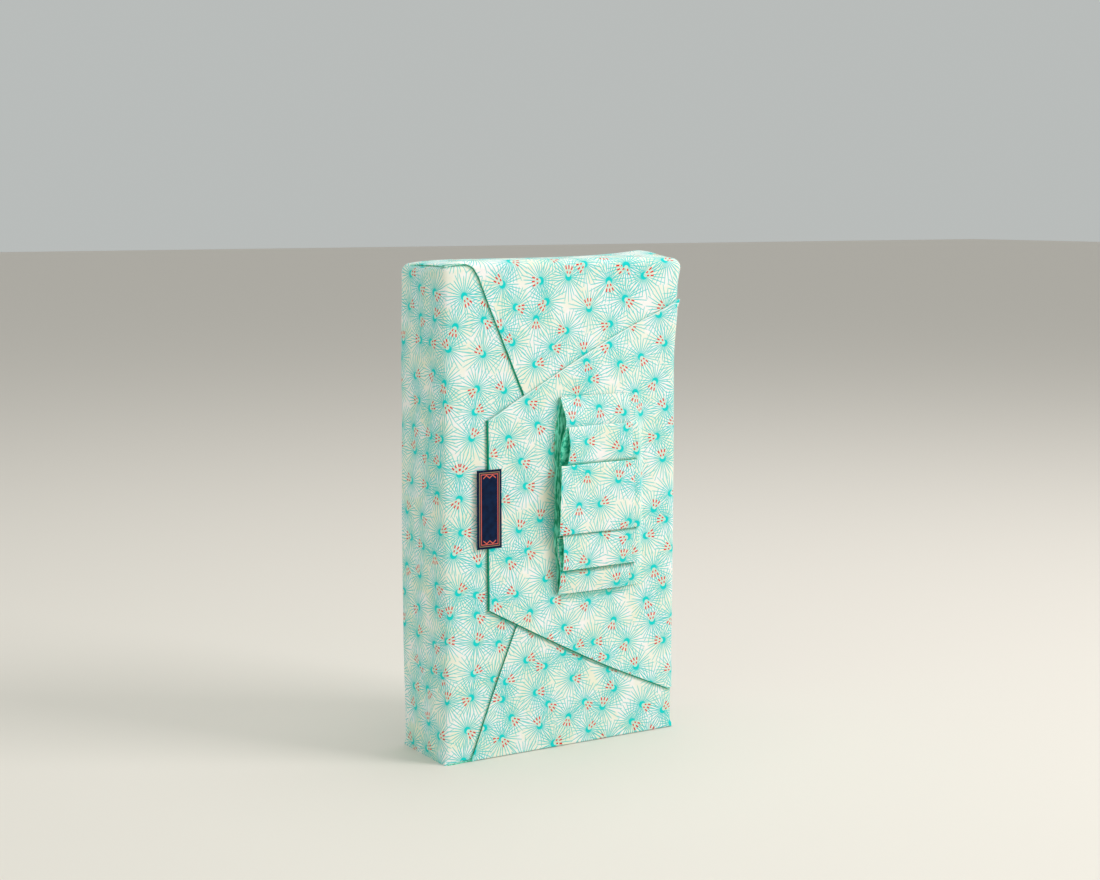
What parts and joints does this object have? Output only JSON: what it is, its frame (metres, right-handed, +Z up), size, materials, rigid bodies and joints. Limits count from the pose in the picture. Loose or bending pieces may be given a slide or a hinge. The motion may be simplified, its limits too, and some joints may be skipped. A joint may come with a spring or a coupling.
{
  "type": "furoshiki wrap",
  "caption": "Printed cloth folded round an upright box shape, with crossing corner flaps, a pleated tail and a narrow closing label.",
  "frame": {"origin": "middle of the underside of the whole part's box, on the surface that it stands on", "axes": "+Z up, along the parcel's height; the front with the flaps and pleats faces -Y; +X is to the right of it"},
  "size_m": [0.173, 0.0715, 0.3056],
  "materials": {
    "printed_cotton": "matt plain-woven cotton, cream with a turquoise and coral flower print",
    "glossy_label": "glossy coated navy paper with a coral and tan border"
  },
  "bodies": {
    "root": {"wrap_cloth": "printed_cotton", "closure_label": "glossy_label"}
  },
  "joints": []
}
